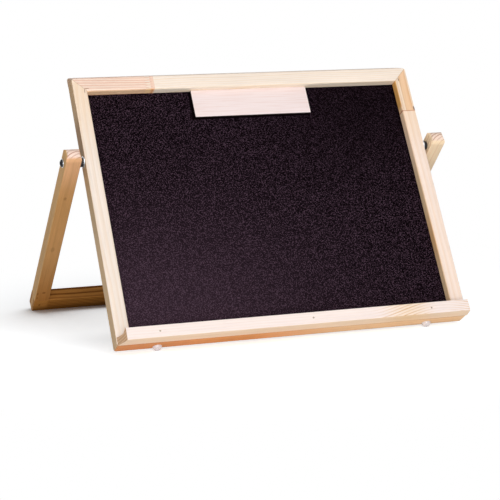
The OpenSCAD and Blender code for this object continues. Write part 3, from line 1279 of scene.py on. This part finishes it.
@dataclass
class BoardFrame:
    """The mitred frame: two rails, two stiles, their finger-jointed ends and the corner wedges."""

    datum: Datum
    half_width: float = 250.0
    height: float = 389.0
    finger: float = 10.0
    finger_pitch: float = 4.0
    rail_joint: float = -147.0
    glue: str = "A98562"
    chip: Blot = Blot("5E3C22", 0.9, (323.6, 249.2, 22.0), (4.0, 2.2, 5.0))

    def mitres(self, upright: bool, *ends: tuple[int, int]) -> tuple[Mark, ...]:
        """Lists the fine mitre lines at a piece's ends.

        Args:
            upright: Whether the piece is a stile.
            *ends: Its corners: 1 for right or -1 for left, then 1 for top or 0 for bottom.

        Returns:
            The marks.
        """
        lines = []
        for right, top in ends:
            x, s = right * self.half_width, top * self.height
            turn = 45.0 if (right > 0) == (top > 0) else -45.0
            through, way = ((s, x), 90.0 - turn) if upright else ((x, s), turn)
            lines.append(Seam(self.glue, 0.6, through, way))
        return tuple(lines)

    def finger_marks(self) -> tuple[Mark, ...]:
        """Lists the marks of the top rail's finger joint.

        Returns:
            The marks.
        """
        joint = self.rail_joint
        return (
            Band("F2C9B2", 0.8, Axis.ALONG, joint + 7.5, joint + 13.0, 0.5),
            FingerLine("B98A5E", 0.45, joint, self.finger, self.finger_pitch, self.height),
        )

    def top_rails(self) -> None:
        """Finishes the top rail and its end piece."""
        rail = self.datum.crosswise()
        joint = self.rail_joint
        dress_node("top_rail", Timber(
            "pine_top_rail", "FAEBDD", "F0D3AC", 1.3, figure=0.55,
            marks=(
                *self.finger_marks(),
                # painted light: the rail's underside is a little lighter, as if lit from below
                FaceShading("FFEEDA", 1.0, LOW_SIDE),
                Fade("FFD2A0", 0.9, Axis.ALONG, joint + 14.0, joint + 10.0, LOW_SIDE),
                *self.mitres(False, (1, 1)),
            ),
        ).dress(rail))
        dress_node("top_rail_end", Timber(
            "pine_top_rail_end", "F9DECB", "E0A285", 9.1, pitch=3.4, pith=(316.0, -14.0),
            figure=0.85, fibre=0.16, onset=0.45, wander=7.0,
            marks=(
                *self.finger_marks(),
                # painted shade: the underside takes a warmer, shaded tone
                FaceShading("FFD8B0", 1.0, LOW_SIDE),
                *self.mitres(False, (-1, 1)),
                Blot("9A6E50", 0.7, (-230.6, 373.0, 22.0), (4.2, 0.9, 3.0)),
            ),
        ).dress(rail))

    def stiles(self) -> None:
        """Finishes the two stiles and the right one's end piece."""
        stile = self.datum.upright()
        dress_node("left_stile", Timber(
            "pine_left_stile", "F5E6D9", "E9CBA6", 6.2, pith=(-270.0, -30.0), figure=0.4,
            marks=(
                # painted shade: the outer side is browner, as a face turned from the light
                FaceShading("D6B68C", 1.0, LOW_SIDE),
                Fade("E4D6CA", 1.0, Axis.ALONG, 130.0, 185.0, LOW_SIDE),
                # the outer side is darker along this stretch beside the pivot
                Stretch("BFA589", 1.0, Axis.ALONG, 276.0, 326.0, 16.0, LOW_SIDE),
                Fade("F6DCC0", 0.8, Axis.ALONG, 250.0, 380.0),
                *self.mitres(True, (-1, 0), (-1, 1)),
                Blot("8E6850", 0.7, (369.4, -234.0, 22.0), (4.4, 0.9, 3.0)),
            ),
        ).dress(stile))
        dress_node("right_stile", Timber(
            "pine_right_stile", "F8E3D5", "EDCBA8", 2.9, pith=(262.0, -26.0), figure=0.45,
            marks=(
                # painted shade: the inner side takes a warmer, shaded tone
                FaceShading("FFDDB4", 1.0, LOW_SIDE),
                Fade("FADFC6", 0.9, Axis.ALONG, 240.0, 320.0),
                Fade("FFEDF3", 1.0, Axis.ALONG, 190.0, 300.0, LOW_SIDE),
                Stretch("F2CEAF", 1.0, Axis.ALONG, 90.0, 150.0, 30.0, LOW_SIDE),
                *self.mitres(True, (1, 0)),
                Band("C98A68", 0.9, Axis.ALONG, 318.8, 321.0, 0.4),
                self.chip,
            ),
        ).dress(stile))
        dress_node("right_stile_end", Timber(
            "pine_right_stile_end", "F0C8A0", "D5955C", 7.7, pith=(232.0, -30.0), pitch=2.6,
            figure=0.5, onset=0.4,
            marks=(
                Band("F8E0C6", 0.9, Axis.ACROSS, 228.0, 236.2, 0.5),
                Band("C98F66", 0.7, Axis.ACROSS, 232.2, 232.8, 0.3),
                Band("D2A078", 0.7, Axis.ACROSS, 236.0, 236.7, 0.3),
                Band("F0D8BE", 0.8, Axis.ACROSS, 247.2, 251.0, 0.6),
                # painted shade: the inner side is deep orange, as a face turned from the light
                FaceShading("F3A958", 1.0, LOW_SIDE),
                self.chip,
                Blot("6E5038", 0.8, (370.5, 235.2, 22.0), (3.4, 0.9, 3.0)),
                *self.mitres(True, (1, 1)),
            ),
        ).dress(stile))

    def dress(self) -> None:
        """Finishes the frame's timber and wedges."""
        self.top_rails()
        self.stiles()
        dress_node("bottom_rail", Timber(
            "pine_bottom_rail", "FCD8AB", "DC9052", 4.7, figure=0.4,
            marks=(
                Fade("F3AD6C", 1.0, Axis.ALONG, 90.0, -80.0, LOW_SIDE),
                Fade("ECC292", 1.0, Axis.ALONG, -120.0, -190.0, LOW_SIDE),
                Stretch("F3CC92", 1.0, Axis.ALONG, -135.0, -50.0, 25.0, LOW_SIDE),
                Stretch("B98A5E", 0.8, Axis.OUT, 20.9, 23.0, 0.5, LOW_SIDE),
                *self.mitres(False, (-1, 0), (1, 0)),
            ),
        ).dress(self.datum.crosswise()))
        zinc = Metal("zinc_wedge", "B9BBBD", "8F9194", 0.42)
        dress_node("corner_wedges", zinc.dress(self.datum.front))


@dataclass
class ChalkPanel:
    """The painted hardboard panel and the bare plaque that is stuck to its top."""

    datum: Datum
    ease: float = 0.0003
    crease: float = 40.0

    def dress(self) -> None:
        """Finishes the panel and builds the plaque."""
        points = [v.co - self.datum.origin for v in frame["nodes"]["plaque"].data.vertices]
        spans = [span(points, way) for way in (X_AXIS, self.datum.up, self.datum.front)]
        edges = (spans[0][0] * MM, spans[0][1] * MM, spans[1][0] * MM)
        dress_node("chalk_panel", Chalkboard().dress(self.datum.crosswise(), edges))
        mesh = bmesh.new()
        bmesh.ops.create_cube(mesh, size=1.0)
        for corner in mesh.verts:
            shares = [c + 0.5 for c in corner.co]
            measures = [low + (high - low) * share for (low, high), share in zip(spans, shares)]
            corner.co = self.datum.at(*measures)
        bmesh.ops.bevel(
            mesh, geom=mesh.edges[:], offset=self.ease, segments=3, profile=0.5, affect="EDGES",
            clamp_overlap=True,
        )
        back, face = spans[2]
        sheet = Grain(self.datum.at(0.0, 0.0, back), X_AXIS, self.datum.up, self.datum.front)
        birch = Plywood().dress(sheet, (face - back) * MM)
        plaque = to_object("name_plaque", mesh, birch, self.crease)
        mount(plaque, "board", Slot.PLYWOOD, "plaque")


@dataclass
class ChalkTray:
    """The chalk tray along the board's foot, and the three nails that hold it."""

    datum: Datum
    dish: float = 0.0003
    head_edge: float = 0.0006
    neck: float = 0.0009
    point: float = 0.002
    ease: float = 0.0002
    fine_ease: float = 0.0001

    def dress(self) -> None:
        """Finishes the tray and builds the nails."""
        dress_node("chalk_tray", Timber(
            "pine_tray", "F9E9E2", "DDB384", 3.4, pitch=3.6, pith=(74.0, 20.0), figure=0.16,
            ripple=0.12, onset=0.5, wander=3.0, flame=Flame(205.0, 112.0, -20.0, 5.5),
            marks=(
                # painted shade: the underside takes a warmer, shaded tone
                FaceShading("FBDFBD", 0.8, LOW_SIDE),
                Stretch("F6DEC6", 0.9, Axis.ALONG, 132.0, 178.0, 24.0),
            ),
        ).dress(self.datum.crosswise()))
        nails = Lathe("tray_nail_set", segments=24)
        for points in islands("tray_nails"):
            self.nail(nails, Spot.of(points, self.datum))
        steel = Metal("nail_steel", "BCAE9C", "8E8070", 0.5, metallic=0.5)
        piece = nails.finish(steel.dress(self.datum.front))
        mount(piece, "board", Slot.NAIL_STEEL, "tray_nails")

    def nail(self, lathe: Lathe, spot: Spot) -> None:
        """Turns one nail with its dished head.

        Args:
            lathe: The lathe.
            spot: The nail's place and size.
        """
        radius = spot.radius
        height = sum(span(spot.off, self.datum.up)) / 2
        tip, face = span(spot.off, self.datum.front)
        shank = radius * 0.6
        lathe.turned(
            [
                Corner(0.0, -self.dish), Corner(radius * 0.55, -self.dish, self.ease),
                Corner(radius * 0.7, 0.0, self.ease), Corner(radius, 0.0, self.ease),
                Corner(radius, -self.head_edge, self.fine_ease),
                Corner(shank, -self.neck, self.fine_ease),
                Corner(shank, tip - face + self.point), Corner(0.0, tip - face),
            ],
            self.datum.at(spot.x, height, face), self.datum.front,
        )


@dataclass
class Feet:
    """The two clear bumpers under the board."""

    datum: Datum
    rows: int = 12

    def build(self) -> None:
        """Turns the two domes."""
        feet = Lathe("bumper_feet", segments=64)
        for points in islands("rubber_feet"):
            spot = Spot.of(points, self.datum)
            radius = spot.radius
            depth = sum(span(spot.off, self.datum.front)) / 2
            low, high = span(spot.off, self.datum.up)
            height = high - low
            ball = (radius ** 2 + height ** 2) / (2 * height)
            section = [Corner(0.0, 0.0), Corner(radius, 0.0)]
            widest = math.asin(min(1.0, radius / ball))
            for k in range(1, self.rows + 1):
                angle = widest * (1 - k / self.rows)
                rise = height - ball + ball * math.cos(angle)
                section.append(Corner(ball * math.sin(angle), rise))
            feet.turned(section, self.datum.at(spot.x, high, depth), -self.datum.up)
        mount(feet.finish(ClearRubber().dress()), "board", Slot.CLEAR_RUBBER, "rubber_feet")


@dataclass
class Pivots:
    """What each leg turns on: insert, wide washer, friction ring, small washer and bolt."""

    datum: Datum
    bore: float = 0.0032
    edge: float = 0.0003
    ring_edge: float = 0.0005
    ring_bulge: float = 0.0004
    shank: float = 0.003
    tip_taper: tuple[float, float] = (0.0006, 0.0008)
    head_foot: float = 0.0003
    ease: float = 0.0002
    rim_share: float = 0.24
    dome_rows: int = 10
    socket: float = 0.0023
    socket_mouth: float = 1.12
    socket_depth: float = 0.002
    socket_cone: float = 0.0008
    socket_turn: float = 0.3

    def axis(self) -> Vector:
        """Gives a point of the axis that both pivots share."""
        return Vector(frame["joints"][0]["pos_m"])

    @staticmethod
    def measured(points: Sequence[Vector]) -> tuple[float, float, float, float]:
        """Measures a round piece on the axis.

        Args:
            points: The piece's points.

        Returns:
            Its side, 1 or -1, its near and far end from the easel's middle, and its radius.
        """
        side = 1.0 if points[0].x > 0 else -1.0
        near, far = sorted(abs(x) for x in span(points, X_AXIS))
        low, high = span(points, Z_AXIS)
        return side, near, far, (high - low) / 2

    def disc(self, lathe: Lathe, node: str, edge: float, bulge: float = 0.0) -> None:
        """Turns a bored disc at each pivot.

        Args:
            lathe: The lathe.
            node: The node that gives the disc's place and size.
            edge: How far its edges are rounded.
            bulge: How far its rim bulges.
        """
        for points in islands(node):
            side, near, far, radius = self.measured(points)
            thick = far - near
            rim = [Corner(radius - bulge, 0.0, edge), Corner(radius - bulge, thick, edge)]
            if bulge:
                rim.insert(1, Corner(radius, thick / 2))
            lathe.turned(
                [Corner(self.bore, 0.0, edge), *rim, Corner(self.bore, thick, edge)],
                self.axis() + X_AXIS * side * near, X_AXIS * side, closed=True,
            )

    def bolt_section(self, tip: float, head: float, rise: float) -> list[Corner]:
        """Lists the corners of a bolt from its tip to the mouth of its socket.

        Args:
            tip: The tip's height over the seat of the head.
            head: The head's radius.
            rise: The head's height.

        Returns:
            The corners.
        """
        narrow, slope = self.tip_taper
        rim = rise * self.rim_share
        dome = (head ** 2 + (rise - rim) ** 2) / (2 * (rise - rim))
        section = [
            Corner(0.0, tip), Corner(self.shank - narrow, tip, self.ease),
            Corner(self.shank, tip + slope, self.ease), Corner(self.shank, 0.0),
            Corner(head - self.head_foot, 0.0, self.ease), Corner(head, self.head_foot, self.ease),
            Corner(head, rim),
        ]
        start, mouth = math.asin(head / dome), math.asin(self.socket * self.socket_mouth / dome)
        for k in range(1, self.dome_rows + 1):
            angle = start + (mouth - start) * k / self.dome_rows
            section.append(Corner(dome * math.sin(angle), rise - dome + dome * math.cos(angle)))
        return section

    def bolts(self, lathe: Lathe) -> None:
        """Turns the two bolts with their button heads and hexagon sockets.

        Args:
            lathe: The lathe.
        """
        seat = max(abs(x) for x in span(islands("head_washers")[1], X_AXIS))
        for points in islands("pivot_bolts"):
            side, near, far, head = self.measured(points)
            base, way = self.axis() + X_AXIS * side * seat, X_AXIS * side
            section = self.bolt_section(near - seat, head, far - seat)
            top = section[-1].height
            rings = [lathe.ring(r, h, base, way) for r, h in lathe.outline(section, False)]
            turn = side * self.socket_turn
            for drop in (self.ease, self.socket_depth):
                rings.append(lathe.ring(self.socket, top - drop, base, way, flat=6, turn=turn))
            rings.append(lathe.ring(0.0, top - self.socket_depth - self.socket_cone, base, way))
            lathe.join(rings)

    def build(self) -> None:
        """Builds and mounts the hardware."""
        zinc = Metal("bright_zinc", "D9DCE0", "A9ADB2", 0.3).dress(X_AXIS)
        for kind in ("wide_washer", "head_washer"):
            lathe = Lathe(f"{kind}_pair")
            self.disc(lathe, f"{kind}s", self.edge)
            mount(lathe.finish(zinc), "board", Slot.ZINC_STEEL, f"{kind}s")
        ring = Lathe("friction_ring_pair")
        self.disc(ring, "friction_spacers", self.ring_edge, self.ring_bulge)
        mount(ring.finish(Rubber().dress()), "board", Slot.BLACK_RUBBER, "friction_spacers")
        bolts = Lathe("bolt_pair")
        self.bolts(bolts)
        black = Metal("blackened_steel", "242427", "3A393B", 0.36, metallic=0.85).dress(X_AXIS)
        mount(bolts.finish(black), "board", Slot.BLACK_STEEL, "pivot_bolts")
        brass = Metal("insert_brass", "C79B4E", "8E6A30", 0.35)
        dress_node("threaded_inserts", brass.dress(X_AXIS))


@dataclass
class Stand:
    """The U-shaped stand: two legs and the cross bar that their tongues are let into."""

    datum: Datum

    def dress(self) -> None:
        """Finishes the stand's timber."""
        self.legs()
        dress_node("cross_bar", Timber(
            "pine_cross_bar", "D8A464", "6E3A08", 17.1, pitch=2.8, pith=(-360.0, -24.0),
            figure=0.95, fibre=0.45, onset=0.3, gloss=0.04, wander=6.0,
            marks=(
                # painted shade: the front is dark brown, as in the board's shadow
                FaceShading("B07836", 1.0, FRONT),
                # painted light: the left end, clear of the board's shadow, is lighter
                Band("B8803F", 0.9, Axis.ALONG, -290.0, -258.0, 2.5),
                # painted shade: the top is darker, as in the board's shadow
                FaceShading("B87E3E", 1.0, HIGH_SIDE),
                # painted shade: the front darkens towards the floor
                Fade("886232", 0.9, Axis.ACROSS, -314.0, -326.0, FRONT),
                Blot("5A3010", 0.5, (-269.8, -314.3, 11.0), (2.0, 3.4, 3.0)),
            ),
        ).dress(self.datum.crosswise()))

    def legs(self) -> None:
        """Finishes the two legs, of which the left one has pin knots."""
        upright = self.datum.upright()
        dress_node("left_leg", Timber(
            "pine_left_leg", "E7B284", "B98650", 11.4, pitch=4.4, pith=(-254.0, 36.0), figure=0.2,
            # end_early is paler than the faces: painted light on the rounded tops, which face up into the light
            fibre=0.16, drift=0.14, onset=0.5, gloss=0.15, end_early="F6DACA", end_late="B0745A",
            marks=(
                # painted shade: the front darkens from the top downwards, as in the board's shadow
                Fade("D6A065", 1.0, Axis.ALONG, 10.0, -70.0, FRONT),
                Fade("C2864B", 1.0, Axis.ALONG, -170.0, -330.0, FRONT),
                # painted shade: the outer side is darker
                FaceShading("DCAE74", 1.0, LOW_SIDE),
                Blot("8A5426", 0.4, (-64.0, -268.0, 11.0), (4.0, 2.6, 4.0)),
                Blot("8F6430", 0.3, (-179.0, -269.0, 11.0), (7.0, 3.6, 5.0)),
                Blot("6B3A14", 0.6, (-284.0, -267.0, 11.0), (2.6, 3.4, 3.0)),
                Blot("6B3A14", 0.5, (-286.0, -276.0, 11.0), (3.4, 1.6, 3.0)),
                Blot("6B3A14", 0.5, (-296.0, -275.6, 11.0), (3.4, 1.4, 3.0)),
            ),
        ).dress(upright))
        dress_node("right_leg", Timber(
            "pine_right_leg", "FDE2BE", "D3A06A", 13.8, pitch=4.4, pith=(284.0, 36.0), figure=0.35,
            fibre=0.16, drift=0.12, onset=0.5, end_early="F4DAC8", end_late="B8866A",
        ).dress(upright))


# ---- Studio ----


@dataclass(frozen=True)
class Softbox:
    """A large soft lamp that is turned to the easel."""

    name: str
    way: tuple[float, float, float]
    distance: float
    size: tuple[float, float]
    level: float

    def hang(self, target: Vector) -> None:
        """Hangs the lamp.

        Args:
            target: The point that it is turned to.
        """
        lamp = bpy.data.lights.new(self.name, "AREA")
        lamp.shape = "ELLIPSE"
        lamp.size, lamp.size_y = self.size
        lamp.energy = math.pi ** 2 * self.distance ** 2 * self.level
        holder = bpy.data.objects.new(self.name, lamp)
        way = Vector(self.way).normalized()
        holder.location = target + way * self.distance
        holder.rotation_euler = way.to_track_quat("Z", "Y").to_euler()
        bpy.context.scene.collection.objects.link(holder)


@dataclass(frozen=True)
class View:
    """Where the camera stands, in metres, and how it is turned, in degrees."""

    place: tuple[float, float, float] = (-0.795, -2.21049, 0.4417)
    azimuth: float = 19.78
    elevation: float = 8.35
    roll: float = 1.0
    lens: float = 119.8
    sensor: float = 36.0
    clip: tuple[float, float] = (0.05, 100.0)


@dataclass
class Studio:
    """The pale floor, the soft light, the white surroundings and the camera."""

    target: Vector
    view: View = View()
    softboxes: tuple[Softbox, ...] = (
        Softbox("high_softbox", (0.27, -0.73, 0.65), 2.4, (1.8, 1.8), 0.34),
        Softbox("low_softbox", (-0.36, -1.0, 0.08), 2.4, (1.9, 0.9), 0.47),
    )
    ambient: float = 0.27
    floor_radius: float = 40.0
    floor_glow: float = 0.64
    floor_pale: tuple[float, float, float] = (0.87, 0.9, 0.93)
    floor_bounce: float = 0.95
    shadow_ends: tuple[float, float] = (0.32, 0.62)
    contact: float = 0.13
    contact_dark: tuple[float, float] = (0.46, 1.02)
    contact_starts: tuple[float, float] = (-0.14, 0.02)

    def shown(self, shader: Shader) -> Sock:
        """Marks the rays that show the surroundings: the camera's, gloss's and clear rubber's.

        Args:
            shader: The shader.

        Returns:
            A number that is 1 for such a ray and 0 for the rest.
        """
        kinds = ("Camera", "Glossy", "Transmission")
        rays = [shader.node("ShaderNodeLightPath", output=f"Is {kind} Ray") for kind in kinds]
        return rays[0].most(rays[1]).most(rays[2])

    @staticmethod
    def blend(shader: Shader, share: Sock, first: Sock, second: Sock) -> Sock:
        """Mixes two surfaces, with the second one's share."""
        return shader.node("ShaderNodeMixShader", sockets={0: share, 1: first, 2: second})

    def surroundings(self) -> None:
        """Makes the world white where it is seen, and dim where it only lights."""
        world = bpy.data.worlds.new("studio")
        bpy.context.scene.world = world
        world.use_nodes = True
        shader = Shader(world.node_tree)
        dim, white = [
            shader.node("ShaderNodeBackground", sockets={"Color": WHITE, "Strength": strength})
            for strength in (self.ambient, 1.0)
        ]
        mixed = self.blend(shader, self.shown(shader), dim, white)
        shader.node("ShaderNodeOutputWorld", sockets={"Surface": mixed})

    def floor(self) -> None:
        """Lays the floor, white with the object's soft shadow on it.

        It shows white far off. Near the easel it shows its own tone with the shadows on it, and
        behind the board a painted contact shade darkens it where the wood stands close over it.
        """
        mesh = bmesh.new()
        bmesh.ops.create_circle(mesh, cap_ends=True, segments=96, radius=self.floor_radius)
        material, shader = new_finish("floor")
        length = {"operation": "LENGTH"}
        distance = shader.node("ShaderNodeVectorMath", length, {0: shader.place()}, "Value")
        far = distance.smooth(*self.shadow_ends)
        bounce, pale = [
            shader.node("ShaderNodeBsdfDiffuse", sockets={"Color": (*tone, 1.0)})
            for tone in ((self.floor_bounce,) * 3, self.floor_pale)
        ]
        glow, white = [
            shader.node("ShaderNodeEmission", sockets={"Color": WHITE, "Strength": strength})
            for strength in (self.floor_glow, 1.0)
        ]
        near = shader.node("ShaderNodeAddShader", sockets={0: pale, 1: glow})
        deep = self.blend(shader, self.openness(shader), pale, near)
        seen = self.blend(shader, far, deep, white)
        both = self.blend(shader, self.shown(shader), bounce, seen)
        shader.node("ShaderNodeOutputMaterial", sockets={"Surface": both})
        to_object("floor", mesh, material, 30.0)

    def openness(self, shader: Shader) -> Sock:
        """Says how open the floor lies to the room, which sets a painted contact shade.

        Args:
            shader: The floor's shader.

        Returns:
            A number that is 1 in the open and before the board, and less under wood behind it.
        """
        behind = shader.place().along(Y_AXIS).smooth(*self.contact_starts)
        reach = {"Distance": self.contact}
        sky = shader.node("ShaderNodeAmbientOcclusion", {"samples": 12}, reach, "AO")
        return (sky.smooth(*self.contact_dark) - 1) * behind + 1

    def camera(self) -> None:
        """Sets the camera at its viewing angle."""
        view = self.view
        azimuth, elevation, roll = map(math.radians, (view.azimuth, view.elevation, view.roll))
        level = math.cos(elevation)
        ahead = Vector((math.sin(azimuth) * level, math.cos(azimuth) * level, -math.sin(elevation)))
        right = Vector((math.cos(azimuth), -math.sin(azimuth), 0.0))
        down = ahead.cross(right)
        side = right * math.cos(roll) + down * math.sin(roll)
        low = down * math.cos(roll) - right * math.sin(roll)
        turned = Matrix((side, -low, -ahead)).transposed().to_4x4()
        data = bpy.data.cameras.new("camera")
        data.lens, data.sensor_width = view.lens, view.sensor
        data.clip_start, data.clip_end = view.clip
        camera = bpy.data.objects.new("camera", data)
        camera.matrix_world = Matrix.Translation(view.place) @ turned
        bpy.context.scene.collection.objects.link(camera)
        bpy.context.scene.camera = camera

    def build(self) -> None:
        """Sets up the studio."""
        bpy.context.scene.view_settings.view_transform = "Standard"
        self.surroundings()
        self.floor()
        for softbox in self.softboxes:
            softbox.hang(self.target)
        self.camera()
        log.info("studio: %d softboxes, floor, white surroundings and camera", len(self.softboxes))


def main() -> None:
    """Builds and dresses the easel piece by piece."""
    logging.basicConfig(level=logging.INFO, format="%(name)s: %(message)s")
    board, stand = Datum.of_board(), Datum.of_stand()
    BoardFrame(board).dress()
    ChalkPanel(board).dress()
    ChalkTray(board).dress()
    Feet(board).build()
    Pivots(board).build()
    Stand(stand).dress()
    low, high = CAD_BOX
    Studio((low + high) / 2).build()


if __name__ == "__main__":
    main()
